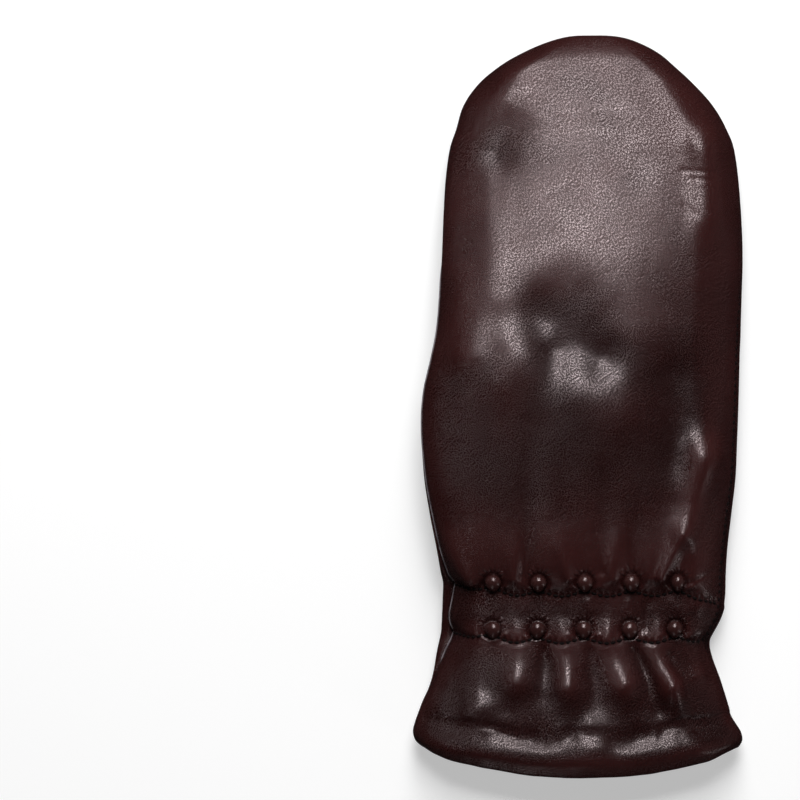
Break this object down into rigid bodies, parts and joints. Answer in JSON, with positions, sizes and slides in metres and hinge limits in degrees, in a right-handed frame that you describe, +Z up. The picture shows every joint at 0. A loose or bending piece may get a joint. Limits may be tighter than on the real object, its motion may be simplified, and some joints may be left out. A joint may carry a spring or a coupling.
{
  "type": "leather mitten",
  "caption": "Right-hand leather mitten lying palm down: rounded fingertips, gathered and pipped wrist, flared hemmed cuff, thumb folded under the palm.",
  "frame": {"origin": "on the table, under the middle of the mitten's box", "axes": "+Y to the fingertips, +X to the little finger side, +Z up out of the back of the hand"},
  "size_m": [0.1162, 0.2598, 0.039],
  "materials": {
    "back_leather": "smooth dark brown sheep leather with a fine grain and a soft gloss",
    "palm_leather": "smooth dark brown sheep leather with a fine grain and a soft gloss",
    "thumb_leather": "smooth dark brown sheep leather with a fine grain and a soft gloss",
    "pip_leather": "the same leather, pulled tight over a small core"
  },
  "bodies": {
    "root": {"back_panel": "back_leather", "palm_panel": "palm_leather", "thumb": "thumb_leather", "pip_upper_1": "pip_leather", "pip_upper_2": "pip_leather", "pip_upper_3": "pip_leather", "pip_upper_4": "pip_leather", "pip_upper_5": "pip_leather", "pip_lower_1": "pip_leather", "pip_lower_2": "pip_leather", "pip_lower_3": "pip_leather", "pip_lower_4": "pip_leather", "pip_lower_5": "pip_leather"}
  },
  "joints": []
}
